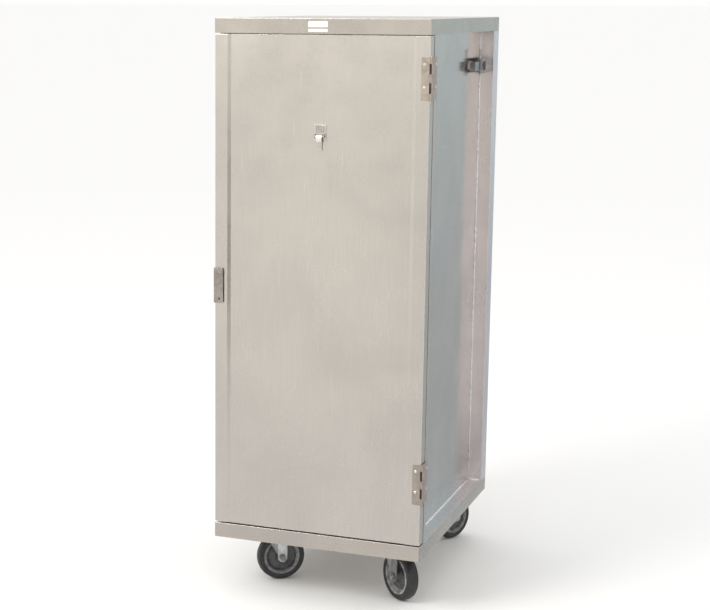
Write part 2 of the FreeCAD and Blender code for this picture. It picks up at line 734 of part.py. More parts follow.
def build_fork(name):
    """A pressed fork: crown plate, two winged legs and holes for kingpin and axle."""
    body = body_with(name)
    trail, axle_z = dim("caster_trail"), dim("wheel_radius")
    gap, thick = dim("fork_gap") / 2, dim("fork_thick")
    crown_low, crown_top = dim("crown_bottom"), dim("crown_top")
    foot, toe = dim("fork_foot"), 6
    ahead, behind = -dim("crown_ahead"), trail + foot
    outline = [(ahead, crown_low), (trail - foot, axle_z + 8), (trail - foot, axle_z - 5)]
    outline += [(trail - toe, axle_z - foot), (trail + toe, axle_z - foot), (behind, axle_z - 5)]
    outline += [(behind, crown_top), (ahead, crown_top)]
    crown = sketch_on(body, name + "_crown", "XY_Plane", crown_low)
    draw_outline(crown, corners((ahead, behind), (-gap - thick, gap + thick)))
    feature(body, "Pad", name + "_crown_plate", crown, crown_top - crown_low)
    for side, lift in (("near", gap), ("far", -gap - thick)):
        leg = sketch_on(body, f"{name}_{side}_outline", "XZ_Plane", lift)
        draw_outline(leg, outline)
        feature(body, "Pad", f"{name}_{side}_leg", leg, thick)
    king = sketch_on(body, name + "_king_circle", "XY_Plane")
    draw_circle(king, 0, 0, dim("hub_bore"))
    feature(body, "Pocket", name + "_king_hole", king, crown_top + 1, backwards=True)
    axle = sketch_on(body, name + "_axle_circle", "XZ_Plane", -gap - thick - 1)
    draw_circle(axle, trail, axle_z, dim("hub_bore"))
    feature(body, "Pocket", name + "_axle_hole", axle, 2 * (gap + thick + 1), backwards=True)
    return body


def hexagon(name, across, height, rotation, x, y, z):
    nut = doc.addObject("Part::Prism", name)
    nut.Polygon = 6
    bind(nut, "Circumradius", across / math.sqrt(3))
    bind(nut, "Height", height)
    return stand_at(nut, rotation, x, y, z)


def build_casters():
    plates, bolts = [], []
    top, thick = dim("plate_top"), dim("plate_thick")
    long, wide = dim("plate_length") / 2, dim("plate_width") / 2
    upright = FreeCAD.Rotation()
    race, king_nut = dim("race_bottom"), dim("king_nut_bottom")
    bolt_in, across = 11, 13
    for name, (side, y, angle) in CASTERS.items():
        x = side * (RIGHT - dim("caster_side_inset"))
        pieces = [
            slab(name + "_plate", (x - wide, x + wide), (y - long, y + long), (top - thick, top)),
            rod(name + "_race", "z", dim("race_radius"), race, top - thick - race, x, y),
            rod(name + "_king", "z", dim("axle_radius"), king_nut + 1, race - king_nut + 1, x, y),
            rod(name + "_king_nut", "z", dim("king_nut_radius"), king_nut, 8.7, x, y),
        ]
        plates.append(fuse(name + "_caster_plate", pieces))
        for i, (u, v) in enumerate(((-1, -1), (1, -1), (1, 1), (-1, 1))):
            spot = (x + u * (wide - bolt_in), y + v * (long - bolt_in))
            label = f"{name}_bolt_{i}"
            head = hexagon(label + "_head", across, 5, upright, *spot, top - thick - 5)
            shank = rod(label + "_shank", "z", 4, top - thick, thick + 12, *spot)
            nut = hexagon(label + "_nut", across, 6, upright, *spot, top + dim("channel_thick"))
            bolts.append(fuse(label, [head, shank, nut]))

        swivel = FreeCAD.Rotation(FreeCAD.Vector(0, 0, 1), angle)
        fork = build_fork(name + "_fork")
        keep(stand_at(fork, swivel, x, y, 0), name + "_fork")

        ahead, aside = math.cos(math.radians(angle)), math.sin(math.radians(angle))
        trail, axle_z = dim("caster_trail"), dim("wheel_radius")
        wheel_x, wheel_y = x + trail * ahead, y + trail * aside
        on_axle = swivel.multiply(FreeCAD.Rotation(FreeCAD.Vector(1, 0, 0), 90))
        half_tread, half_hub = dim("tread_width") / 2, dim("hub_width") / 2
        rim, reach = dim("rim_radius"), dim("wheel_radius")
        tyre = [(rim, half_hub), (reach - 8, half_tread), (reach - 3, half_tread - 4)]
        tyre += [(reach - 0.6, half_tread - 10), (reach, half_tread - 16)]
        tyre = revolved(name + "_tyre", mirrored_outline(tyre))
        keep(stand_at(tyre, on_axle, wheel_x, wheel_y, axle_z), name + "_tyre")
        half_boss = dim("fork_gap") / 2 - 0.3
        hub = [(dim("hub_bore"), half_boss), (16, half_boss), (20, 9), (44, 7)]
        hub += [(49, half_hub), (rim, half_hub)]
        hub = revolved(name + "_hub", mirrored_outline(hub))
        keep(stand_at(hub, on_axle, wheel_x, wheel_y, axle_z), name + "_hub")

        outer = dim("fork_gap") / 2 + dim("fork_thick")
        head_height, nut_height, stub = 6, 8, 3
        shaft = rod(name + "_axle_shaft", "z", dim("axle_radius"), 0, outer * 2 + nut_height + stub)
        # the shaft runs from the head's face, out through both legs and the nut
        stand_at(shaft, on_axle, wheel_x - outer * aside, wheel_y + outer * ahead, axle_z)
        far = outer + head_height
        head = hexagon(name + "_axle_head", 19, head_height, on_axle,
                       wheel_x - far * aside, wheel_y + far * ahead, axle_z)
        nut = hexagon(name + "_axle_nut", 19, nut_height, on_axle,
                      wheel_x + outer * aside, wheel_y - outer * ahead, axle_z)
        keep(fuse(name + "_axle_solid", [shaft, head, nut]), name + "_axle")
    keep(group("caster_plate_set", plates), "caster_plates")
    keep(group("caster_bolt_set", bolts), "caster_bolts")


def check_document():
    """Stop on any failed object, and on any node whose shape is empty or invalid."""
    failed = [obj.Name for obj in doc.Objects if {"Invalid", "Error"} & set(obj.State)]
    if failed:
        raise RuntimeError(f"failed objects: {failed}")
    for label, obj in nodes.items():
        if obj.Shape.isNull() or not obj.Shape.isValid() or not obj.Shape.Solids:
            raise RuntimeError(f"{label} has no valid shape")


def write_parts():
    os.makedirs("parts", exist_ok=True)
    for label, obj in nodes.items():
        obj.Shape.exportStep(os.path.join("parts", label + ".step"))
    print(len(nodes), "nodes written")


build_shell()
build_runners()
build_door()
door_screws = build_hinges() + build_pull()
keep(group("door_screw_set", door_screws), "door_screws")
build_clip()
plate_z = (FLANGE_Z + 5.5, FLANGE_Z + 35.5)
keep_slab("name_plate", (-37, 22), (FRONT - 0.8, FRONT), plate_z)
build_catch()
build_casters()
doc.recompute()
check_document()
write_parts()
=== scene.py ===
import json
import math

import bmesh
import bpy
from mathutils import Matrix, Vector, noise


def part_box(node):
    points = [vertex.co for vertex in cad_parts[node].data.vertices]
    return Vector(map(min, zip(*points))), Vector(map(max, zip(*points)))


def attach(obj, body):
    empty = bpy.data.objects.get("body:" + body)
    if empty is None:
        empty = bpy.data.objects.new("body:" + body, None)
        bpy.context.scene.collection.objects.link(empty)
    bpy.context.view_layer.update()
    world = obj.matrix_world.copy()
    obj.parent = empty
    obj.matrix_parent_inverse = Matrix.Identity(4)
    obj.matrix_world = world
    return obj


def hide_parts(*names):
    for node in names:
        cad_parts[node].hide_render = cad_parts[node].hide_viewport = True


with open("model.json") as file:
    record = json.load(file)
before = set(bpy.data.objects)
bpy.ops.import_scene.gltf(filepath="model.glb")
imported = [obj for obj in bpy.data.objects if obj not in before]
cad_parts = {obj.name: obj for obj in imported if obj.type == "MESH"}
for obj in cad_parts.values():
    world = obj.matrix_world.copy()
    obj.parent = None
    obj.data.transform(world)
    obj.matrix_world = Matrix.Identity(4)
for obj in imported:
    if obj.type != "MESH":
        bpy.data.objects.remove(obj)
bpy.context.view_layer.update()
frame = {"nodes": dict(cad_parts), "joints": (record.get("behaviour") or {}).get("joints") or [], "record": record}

# The looks of the insulated food carrier. Metres, in the CAD model's frame: +X is the hinge
# side, the door faces -Y, and the floor is at z = 0.

RECORD = frame["record"]
NODES = frame["nodes"]
JOINTS = {joint["name"]: joint for joint in frame["joints"]}
SLOT_OF = {part["node"]: part["material_slot"] for part in RECORD["subparts"]}
BODY_OF = {node: body for body, group in RECORD["behaviour"]["bodies"].items() for node in group}

MM = 0.001
WELD = 0.002 * MM  # vertices nearer than this are one
FLAT_ANGLE = math.radians(1.0)  # faces that meet at less than this are one
SHARP_ANGLE = math.radians(28.0)  # edges that turn more than this are rounded
CREASE_ANGLE = math.radians(42.0)  # edges that turn more than this are shaded sharp
FOLD_ANGLE = math.radians(9.0)  # the same for the door pan, whose folds are shallow
EDGE = 0.45 * MM  # the rounding of a sheet's edge
FINE_EDGE = 0.4 * MM  # the rounding of a thin or small part's edge
NEAR = 0.3 * MM  # what lies this near to a face's plane is on it

DOOR_LOW, DOOR_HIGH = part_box("door_outer_pan")
FRONT_Y = DOOR_LOW.y
TRAY_LOW, TRAY_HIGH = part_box("base_tray")
DECK_Z = TRAY_HIGH.z
CAP_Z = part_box("top_cap")[0].z


# ---------------------------------------------------------------- materials

def linear(colour):
    """A colour given by its usual 0-255 values, made linear. A socket stays as it is."""
    if isinstance(colour, bpy.types.NodeSocket):
        return colour
    return tuple((value / 255) ** 2.2 for value in colour) + (1.0,)


def stretched(along, share, across=1.0):
    """Noise scales that draw a grain out along one axis."""
    return tuple(share if axis == along else across for axis in "xyz")


class Finish:
    """A node material being built. Its methods return the sockets that they make."""

    def __init__(self, name, **constants):
        self.material = bpy.data.materials.new(name)
        self.material.use_nodes = True
        self.tree = self.material.node_tree
        self.shader = self.tree.nodes["Principled BSDF"]
        for socket, value in constants.items():
            self.shader.inputs[socket.replace("_", " ")].default_value = value
        self.spot = self.add("ShaderNodeTexCoord")["Object"]

    def add(self, kind, inputs=(), **settings):
        """Add a node with these settings and inputs, and give its outputs."""
        made = self.tree.nodes.new(kind)
        for setting, value in settings.items():
            setattr(made, setting, value)
        for key, value in dict(inputs).items():
            self.feed(made.inputs[key], value)
        return made.outputs

    def feed(self, socket, value):
        """Link another socket to an input, or set the input to a value."""
        if isinstance(value, bpy.types.NodeSocket):
            self.tree.links.new(value, socket)
        else:
            socket.default_value = value

    def grain(self, scale, stretch=(1, 1, 1), detail=3.0, rough=0.5, warp=0.0):
        """Noise from 0 to 1, `scale` waves to the metre along an axis of stretch 1."""
        spot = self.add("ShaderNodeMapping", {"Vector": self.spot, "Scale": stretch})["Vector"]
        inputs = {"Vector": spot, "Scale": scale, "Detail": detail, "Roughness": rough, "Distortion": warp}
        return self.add("ShaderNodeTexNoise", inputs)["Fac"]

    def remap(self, value, low, high, start=0.3, end=0.7):
        """The value's stretch from start to end, spread over low to high."""
        inputs = {"Value": value, "From Min": start, "From Max": end, "To Min": low, "To Max": high}
        return self.add("ShaderNodeMapRange", inputs, interpolation_type="SMOOTHSTEP")["Result"]

    def calc(self, operation, first, second=0.0):
        """A math node's result."""
        return self.add("ShaderNodeMath", {0: first, 1: second}, operation=operation)["Value"]

    def mix(self, share, first, second):
        """Two colours mixed by share, each a socket or its 0-255 values."""
        inputs = {0: share, 6: linear(first), 7: linear(second)}
        return self.add("ShaderNodeMix", inputs, data_type="RGBA")[2]

    def tint(self, colour, where, amount, tone):
        """The colour, changed towards a tone by the amount where a mask is 1."""
        return self.mix(self.calc("MULTIPLY", where, amount), colour, tone)

    def marked(self, name, colour, tone):
        """The colour, changed to a tone as far as the faces' own attribute says."""
        share = self.add("ShaderNodeAttribute", attribute_name=name)["Fac"]
        return self.tint(colour, share, 0.97, tone)

    def wear_and_highlight(self):
        """1 on the bent and worn edges that the pieces mark, and on the hubs' lit rims, where it is a painted
        highlight, broken up by noise.
        """
        marked = self.add("ShaderNodeAttribute", attribute_name="wear_and_highlight")["Fac"]
        return self.calc("MULTIPLY", marked, self.remap(self.grain(60, detail=4), 0.2, 1.0))

    def finish(self, colour, rough, heights=()):
        """Link colour and roughness, and stack bumps of (height, depth in metres)."""
        self.feed(self.shader.inputs["Base Color"], colour)
        self.feed(self.shader.inputs["Roughness"], rough)
        normal = None
        for height, depth in heights:
            inputs = {"Height": height, "Distance": depth, "Strength": 1.0}
            if normal:
                inputs["Normal"] = normal
            normal = self.add("ShaderNodeBump", inputs)["Normal"]
        if normal:
            self.feed(self.shader.inputs["Normal"], normal)
        return self.material


def rolled_sheet(name, light, dark, roughness, along):
    """Mill-finish aluminium sheet, rolled along one axis: streaks, smudges, scratches, worn edges, and a painted
    sheen where a piece marks it.
    """
    made = Finish(name, Metallic=1.0)
    streak = made.grain(700, stretched(along, 0.02), detail=2)
    broad = made.grain(45, stretched(along, 0.06), detail=3)
    blotch = made.grain(3.1, detail=4, rough=0.55, warp=0.6)
    smudge = made.grain(13, detail=6, rough=0.6)
    scratch = made.grain(160, stretched(along, 0.05, 1.3), detail=1, warp=0.3)
    scored = made.remap(scratch, 0.0, 1.0, 0.74, 0.8)
    speck = made.remap(made.grain(320, detail=2), 0.0, 1.0, 0.72, 0.8)

    colour = made.mix(made.remap(blotch, 0.0, 1.0, 0.32, 0.68), dark, light)
    colour = made.mix(made.remap(broad, 0.0, 0.10), colour, dark)
    colour = made.mix(made.remap(streak, 0.0, 0.07), colour, (120, 116, 110))
    colour = made.tint(colour, scored, 0.3, (228, 226, 222))
    colour = made.tint(colour, speck, 0.3, (110, 104, 98))
    colour = made.tint(colour, made.wear_and_highlight(), 0.6, (236, 234, 232))
    # painted sheen: a cool-white highlight painted on the faces that a piece marks, here the base tray's deck
    colour = made.marked("painted_sheen", colour, (244, 246, 252))

    rough = made.remap(smudge, roughness - 0.03, roughness + 0.03)
    rough = made.calc("ADD", rough, made.remap(streak, -0.02, 0.02))
    heights = [(smudge, 0.015 * MM), (blotch, 0.1 * MM), (streak, 0.005 * MM), (scored, -0.01 * MM)]
    return made.finish(colour, rough, heights)


def plated_steel(name, light, dark, roughness):
    """Zinc-plated or stainless steel: a mottled plating with small pits, worn edges, and painted highlights,
    painted shade and painted darkening where pieces mark them.
    """
    made = Finish(name, Metallic=1.0)
    mottle = made.grain(38, detail=5, rough=0.6, warp=0.8)
    brushed = made.grain(900, (1.0, 1.0, 0.05), detail=2)
    pit = made.remap(made.grain(420, detail=2), 0.0, 1.0, 0.66, 0.76)
    colour = made.mix(made.remap(mottle, 0.0, 1.0, 0.35, 0.65), dark, light)
    colour = made.tint(colour, pit, 0.5, (70, 66, 60))
    colour = made.tint(colour, made.wear_and_highlight(), 0.5, (232, 230, 226))
    # painted highlight on the faces that a piece marks, here the clip jaw's rolled nose
    colour = made.marked("painted_sheen", colour, (250, 247, 243))
    # painted shade on the faces that a piece marks (hinge slots and knuckles, clip ribs, fork wings), and painted
    # darkening on some screws, axles and fork strips
    colour = made.marked("painted_dark", colour, (40, 34, 30))
    rough = made.remap(mottle, roughness - 0.06, roughness + 0.08)
    return made.finish(colour, rough, [(mottle, 0.05 * MM), (brushed, 0.006 * MM), (pit, -0.03 * MM)])


def bright_metal(name, light, dark, roughness):
    """Chrome, bright zinc or weld metal: nearly clean, with faint smears and hairlines."""
    made = Finish(name, Metallic=1.0)
    smear = made.grain(85, detail=4, warp=0.5)
    hair = made.grain(1500, (1.0, 0.1, 1.0), detail=1)
    colour = made.mix(made.remap(smear, 0.0, 1.0, 0.3, 0.7), dark, light)
    # painted darkening on the faces that a piece marks
    colour = made.marked("painted_dark", colour, (52, 46, 42))
    rough = made.remap(smear, roughness * 0.6, roughness * 1.6)
    return made.finish(colour, rough, [(smear, 0.03 * MM), (hair, 0.003 * MM)])


def moulded(name, light, dark, roughness, texture=500, dust=0.0, worn_and_lit_tone=(132, 128, 122)):
    """Moulded rubber or plastic with a fine skin, cloudy colour, dust, worn edges, and a painted highlight on a
    hub's lit rim.
    """
    made = Finish(name)
    skin = made.grain(texture, detail=3)
    cloud = made.grain(24, detail=5, rough=0.6)
    scuff = made.remap(made.grain(130, detail=5, warp=1.0), 0.0, 1.0, 0.55, 0.8)
    colour = made.mix(made.remap(cloud, 0.0, 1.0, 0.35, 0.65), dark, light)
    colour = made.tint(colour, scuff, 0.25 + dust, (128, 122, 114))
    # Worn edges take this tone; on a hub's marked rim it is a painted highlight.
    colour = made.tint(colour, made.wear_and_highlight(), 0.5 + dust, worn_and_lit_tone)
    rough = made.remap(cloud, roughness - 0.08, roughness + 0.08)
    return made.finish(colour, rough, [(cloud, 0.1 * MM), (skin, 0.05 * MM), (scuff, -0.04 * MM)])


def foamed(name):
    """Cut rigid foam: pale yellow, open cells."""
    made = Finish(name)
    cell = made.add("ShaderNodeTexVoronoi", {"Vector": made.spot, "Scale": 650.0})["Distance"]
    cloud = made.grain(9, detail=4)
    colour = made.mix(made.remap(cloud, 0.0, 1.0), (226, 208, 160), (238, 226, 190))
    colour = made.mix(made.remap(cell, 0.35, 0.0, 0.0, 0.5), colour, (180, 150, 96))
    return made.finish(colour, made.remap(cloud, 0.8, 0.95), [(cell, 0.4 * MM)])


def enamelled(name):
    """The blank name plate: off-white enamel with one plain brownish-grey band across it."""
    made = Finish(name)
    low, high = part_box("name_plate")
    height = made.add("ShaderNodeSeparateXYZ", {"Vector": made.spot})["Z"]
    middle = low.z + 0.36 * (high.z - low.z)
    distance = made.calc("ABSOLUTE", made.calc("SUBTRACT", height, middle))
    band = made.remap(distance, 1.0, 0.0, 2.2 * MM, 2.8 * MM)
    stain = made.grain(90, detail=5)
    white = made.mix(made.remap(stain, 0.0, 1.0), (236, 228, 218), (246, 242, 236))
    colour = made.tint(white, band, 0.8, (150, 118, 112))
    colour = made.tint(colour, made.wear_and_highlight(), 0.6, (190, 184, 176))
    return made.finish(colour, made.remap(stain, 0.25, 0.4), [(stain, 0.04 * MM)])


# The finish of each of the record's material slots, and the scene's own finishes for pieces whose
# slot is one metal but whose sheet, grain or worn edges differ.
FINISHES = {
    "mill_aluminium": rolled_sheet("sheet_upright_grain", (206, 199, 189), (198, 191, 182), 0.30, "z"),
    "side_sheet": rolled_sheet("sheet_level_grain", (202, 195, 186), (192, 186, 178), 0.17, "y"),
    "post_sheet": rolled_sheet("sheet_post_grain", (234, 226, 226), (224, 216, 217), 0.24, "z"),
    "liner_sheet": rolled_sheet("sheet_liner_grain", (238, 237, 234), (232, 231, 229), 0.34, "z"),
    "cross_sheet": rolled_sheet("sheet_cross_grain", (194, 186, 175), (184, 177, 168), 0.28, "x"),
    "weld": bright_metal("weld_bead", (250, 250, 252), (216, 216, 220), 0.16),
    "zinc_steel": plated_steel("zinc_plate", (206, 207, 206), (172, 174, 174), 0.36),
    "stainless": plated_steel("stainless_leaf", (178, 167, 155), (160, 150, 140), 0.46),
    # A lighter, warmer copy of the stainless for the side-facing frame leaves: a painted tone that stands in for
    # the colour of the light they reflect.
    "side_tinted_steel": plated_steel("side_tinted_leaf_steel", (198, 181, 168), (176, 161, 150), 0.42),
    "pull_steel": plated_steel("pull_steel", (166, 158, 150), (146, 138, 131), 0.36),
    "clip_sheet": plated_steel("clip_sheet", (206, 197, 187), (194, 185, 176), 0.30),
    "catch_steel": plated_steel("catch_plate_steel", (158, 156, 157), (112, 110, 112), 0.26),
    "pin_steel": plated_steel("ground_steel", (190, 188, 184), (160, 158, 154), 0.25),
    "bright_fastener": bright_metal("bright_zinc", (236, 232, 224), (210, 206, 198), 0.18),
    "chrome": bright_metal("chrome_plate", (222, 222, 224), (196, 196, 198), 0.10),
    "tyre": moulded("tyre_rubber", (44, 44, 45), (33, 33, 34), 0.5, dust=0.12),
    # The hub's light tone is a painted highlight on the lit rim of its dish.
    "hub": moulded("hub_resin", (80, 80, 82), (60, 60, 62), 0.28, dust=0.08, worn_and_lit_tone=(204, 202, 200)),
    "gasket": moulded("gasket_vinyl", (64, 63, 62), (50, 49, 48), 0.5, texture=900),
    "magnet": moulded("magnet_block", (58, 56, 54), (42, 40, 39), 0.6, texture=700),
    "foam": foamed("cut_foam"),
    "plate_label": enamelled("blank_enamel"),
}


# ---------------------------------------------------------------- mesh helpers

def unit(axis):
    """The unit vector along an axis, 0 to 2."""
    vector = Vector((0, 0, 0))
    vector[axis] = 1.0
    return vector


def others(axis):
    """The two other axes, in order."""
    return [other for other in range(3) if other != axis]


def welded(node):
    """The CAD node's mesh as a whole skin of flat faces."""
    shape = bmesh.new()
    shape.from_mesh(NODES[node].data)
    bmesh.ops.remove_doubles(shape, verts=shape.verts[:], dist=WELD)
    bmesh.ops.dissolve_limit(shape, angle_limit=FLAT_ANGLE, verts=shape.verts[:], edges=shape.edges[:])
    return shape


def face_layer(shape, name):
    """The faces' own attribute that a finish reads by this name."""
    return shape.faces.layers.float.get(name) or shape.faces.layers.float.new(name)


def bevel(shape, width, segments=2, chosen=lambda middle, along: True):
    """Round the sharp edges that `chosen` accepts, and mark the new faces as worn."""
    layer = face_layer(shape, "wear_and_highlight")
    edges = []
    for edge in shape.edges:
        if len(edge.link_faces) != 2 or edge.calc_face_angle() < SHARP_ANGLE:
            continue
        start, end = (vert.co for vert in edge.verts)
        if chosen((start + end) / 2, (end - start).normalized()):
            edges.append(edge)
    made = bmesh.ops.bevel(shape, geom=edges, offset=width, offset_type="OFFSET", segments=segments,
                           profile=0.5, affect="EDGES", clamp_overlap=True)
    for face in made["faces"]:
        face[layer] = 1.0


def diced(shape, axis, cell):
    """Cut the mesh by planes across an axis, so that its faces can bend."""
    spots = [vert.co[axis] for vert in shape.verts]
    low, high = min(spots), max(spots)
    count = math.ceil((high - low) / cell)
    normal = unit(axis)
    for i in range(1, count):
        everything = shape.verts[:] + shape.edges[:] + shape.faces[:]
        level = normal * (low + (high - low) * i / count)
        bmesh.ops.bisect_plane(shape, geom=everything, plane_co=level, plane_no=normal, dist=WELD)


def eased(share):
    """A share held from 0 to 1 and smoothed at both ends."""
    share = max(0.0, min(1.0, share))
    return share * share * (3 - 2 * share)


def oil_can(shape, axis, low, high, height, waves, seed, ease=60 * MM):
    """Let thin sheet inside the box from low to high bow slightly along an axis."""
    for vert in shape.verts:
        if not low[axis] <= vert.co[axis] <= high[axis]:
            continue
        share = 1.0
        for other in others(axis):
            share *= eased(min(vert.co[other] - low[other], high[other] - vert.co[other]) / ease)
        spot = vert.co * waves
        spot[axis] = seed
        vert.co[axis] += height * share * noise.noise(spot)


def to_piece(shape, name, body, slot, finish=None, replaced=(), crease=CREASE_ANGLE):
    """Turn a finished bmesh into a named piece that rides on a body."""
    mesh = bpy.data.meshes.new(name)
    shape.to_mesh(mesh)
    shape.free()
    if "custom_normal" in mesh.attributes:
        mesh.attributes.remove(mesh.attributes["custom_normal"])
    mesh.shade_smooth()
    mesh.set_sharp_from_angle(angle=crease)
    mesh.materials.clear()
    mesh.materials.append(FINISHES[finish or slot])
    piece = bpy.data.objects.new(name, mesh)
    bpy.context.scene.collection.objects.link(piece)
    shading = piece.modifiers.new("even_shading", "WEIGHTED_NORMAL")
    shading.keep_sharp = True
    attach(piece, body)
    if replaced:
        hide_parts(*replaced)


def stand_in(shape, node, finish=None, crease=CREASE_ANGLE):
    """The shape as the piece that stands for a CAD node."""
    to_piece(shape, node + "_made", BODY_OF[node], SLOT_OF[node], finish, (node,), crease)


def refined(node, width, finish=None):
    """The node's own mesh with its sharp edges rounded, as its piece."""
    shape = welded(node)
    bevel(shape, width)
    stand_in(shape, node, finish)


def islands(shape):
    """The corner-to-corner boxes of the separate solids in a mesh."""
    left, boxes = set(shape.verts), []
    while left:
        queue = [left.pop()]
        found = []
        while queue:
            vert = queue.pop()
            found.append(vert.co)
            for edge in vert.link_edges:
                other = edge.other_vert(vert)
                if other in left:
                    left.remove(other)
                    queue.append(other)
        low = Vector(min(co[i] for co in found) for i in range(3))
        high = Vector(max(co[i] for co in found) for i in range(3))
        boxes.append((low, high))
    return boxes


def softened(outline, radii, steps=5):
    """A closed 2-D outline with each corner turned into a curve of about its radius."""
    count = len(outline)
    smooth = []
    for i, corner in enumerate(outline):
        corner = Vector(corner)
        before, after = Vector(outline[i - 1]), Vector(outline[(i + 1) % count])
        if not radii[i]:
            smooth.append(corner)
            continue
        reach_back = min(radii[i], (before - corner).length * 0.49)
        reach_on = min(radii[i], (after - corner).length * 0.49)
        start = corner + (before - corner).normalized() * reach_back
        end = corner + (after - corner).normalized() * reach_on
        for step in range(steps + 1):
            t = step / steps
            smooth.append(start * (1 - t) ** 2 + corner * 2 * t * (1 - t) + end * t * t)
    return smooth


def lathe(shape, profile, centre, axis, count=96):
    """Add a ring turned from a closed (radius, height) profile about an axis."""
    axis = Vector(axis).normalized()
    spoke = axis.orthogonal().normalized()
    rings = []
    for i in range(count):
        out = Matrix.Rotation(math.tau * i / count, 3, axis) @ spoke
        rings.append([shape.verts.new(Vector(centre) + out * r + axis * h) for r, h in profile])
    made = []
    for ring, following in zip(rings, rings[1:] + rings[:1]):
        for j in range(len(profile)):
            k = (j + 1) % len(profile)
            made.append(shape.faces.new((ring[j], ring[k], following[k], following[j])))
    bmesh.ops.recalc_face_normals(shape, faces=made)
    return made


def prism(shape, outline, axis, low, high):
    """Add a solid whose outline, in the two other axes, runs from low to high along an axis."""
    across = others(axis)
    rings = []
    for level in (low, high):
        ring = []
        for u, v in outline:
            spot = Vector((level, level, level))
            spot[across[0]], spot[across[1]] = u, v
            ring.append(shape.verts.new(spot))
        rings.append(ring)
    count = len(outline)
    made = [shape.faces.new(rings[0][::-1]), shape.faces.new(rings[1])]
    for i in range(count):
        k = (i + 1) % count
        made.append(shape.faces.new((rings[0][i], rings[0][k], rings[1][k], rings[1][i])))
    bmesh.ops.recalc_face_normals(shape, faces=made)
    return made


def rectangle(u, v):
    """The outline of a rectangle, from its spans along the two axes."""
    return [(u[0], v[0]), (u[1], v[0]), (u[1], v[1]), (u[0], v[1])]


# ---------------------------------------------------------------- cabinet

def bow_flange(shape, low, high, axis, far, seed):
    """Let the tray's near (0) or far (1) flange across an axis bow along it."""
    start, end = low.copy(), high.copy()
    if far:
        start[axis] = high[axis] - 2 * MM
    else:
        end[axis] = low[axis] + 2 * MM
    start.z -= 60 * MM
    end.z += 4 * MM
    oil_can(shape, axis, start, end, 0.5 * MM, 9.0, seed + axis + far, 15 * MM)


def build_tray(node, painted_sheen, seed):
    """The base tray or the top cap: bent outer edges, a faintly uneven top and flanges, and a painted sheen on its
    top face.
    """
    low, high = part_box(node)
    shape = welded(node)

    def on_top_rim(middle, along):
        inside = min(middle.x - low.x, high.x - middle.x, middle.y - low.y, high.y - middle.y)
        return high.z - middle.z < NEAR and inside < 3 * MM

    bevel(shape, 1.3 * MM, 3, on_top_rim)
    bevel(shape, EDGE)
    # The top face gets a painted sheen, a highlight painted into its colour.
    layer = face_layer(shape, "painted_sheen")
    for face in shape.faces:
        if face.normal.z > 0.9 and face.calc_center_median().z > high.z - NEAR:
            face[layer] = painted_sheen
    for axis in (0, 1):
        diced(shape, axis, 30 * MM)
    rim = Vector((20 * MM, 20 * MM, 0))
    top_low = Vector((low.x, low.y, high.z - 2.5 * MM)) + rim
    top_high = Vector((high.x, high.y, high.z + MM)) - rim
    oil_can(shape, 2, top_low, top_high, -1.0 * MM, 3.0, seed)
    for axis in (0, 1):
        for far in (0, 1):
            bow_flange(shape, low, high, axis, far, seed)
    stand_in(shape, node, "cross_sheet")


# Only the base tray's deck gets the painted sheen; the top cap gets none.
build_tray("base_tray", 0.85, 3.1)
build_tray("top_cap", 0.0, 8.4)


def build_skin(node, axis, bow, waves, seed, finish=None):
    """A thin outer skin that bows a little along an axis."""
    low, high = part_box(node)
    shape = welded(node)
    bevel(shape, EDGE)
    for other in others(axis):
        diced(shape, other, 40 * MM)
    margin = unit(axis) * MM
    oil_can(shape, axis, low - margin, high + margin, bow, waves, seed, 90 * MM)
    stand_in(shape, node, finish)


for node in ("left_side_skin", "right_side_skin"):
    build_skin(node, 0, 1.6 * MM, 3.3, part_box(node)[0].x * 9, "side_sheet")
build_skin("back_skin", 1, 1.4 * MM, 3.0, 5.5)


def build_door_pan():
    """The door's outer pan, with its panel bowed a little between the folded side strips."""
    low, high = DOOR_LOW, DOOR_HIGH
    strip = 55 * MM
    shape = welded("door_outer_pan")
    bevel(shape, 1.2 * MM, 3, lambda middle, along: middle.y < low.y + NEAR)
    bevel(shape, EDGE)
    diced(shape, 0, 32 * MM)
    diced(shape, 2, 40 * MM)
    panel_low = Vector((low.x + strip, low.y + 2 * MM, low.z + 5 * MM))
    panel_high = Vector((high.x - strip, low.y + 6 * MM, high.z - 5 * MM))
    oil_can(shape, 1, panel_low, panel_high, 0.9 * MM, 2.6, 1.7, 120 * MM)
    stand_in(shape, "door_outer_pan", crease=FOLD_ANGLE)


build_door_pan()


def build_inner_sheet():
    """The door's inner sheet, pressed with a raised field inside the gasket."""
    shape = welded("door_inner_sheet")
    inward = [face for face in shape.faces if face.normal.y > 0.9]
    field = max(inward, key=lambda face: face.calc_area())
    bmesh.ops.inset_region(shape, faces=[field], thickness=95 * MM)
    bmesh.ops.inset_region(shape, faces=[field], thickness=9 * MM, depth=2.5 * MM)
    bevel(shape, EDGE)
    stand_in(shape, "door_inner_sheet", "mill_aluminium")


build_inner_sheet()


def build_gasket():
    """A soft seal with a rounded pressing face."""
    press_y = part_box("door_gasket")[1].y
    shape = welded("door_gasket")
    bevel(shape, 3.5 * MM, 4, lambda middle, along: middle.y > press_y - NEAR)
    bevel(shape, EDGE)
    stand_in(shape, "door_gasket")


build_gasket()

for side in ("left", "right"):
    refined(f"front_{side}_post", 0.7 * MM)
for side in ("left", "right"):
    refined(f"rear_{side}_post", 0.7 * MM, "post_sheet")
for node in ("left_liner", "right_liner", "back_liner", "floor_liner", "ceiling_liner"):
    refined(node, FINE_EDGE, "liner_sheet")
for node in ("left_pan_runners", "right_pan_runners"):
    refined(node, FINE_EDGE, "liner_sheet")
refined("front_frame", FINE_EDGE)
for node in ("front_caster_channel", "rear_caster_channel"):
    refined(node, FINE_EDGE, "cross_sheet")


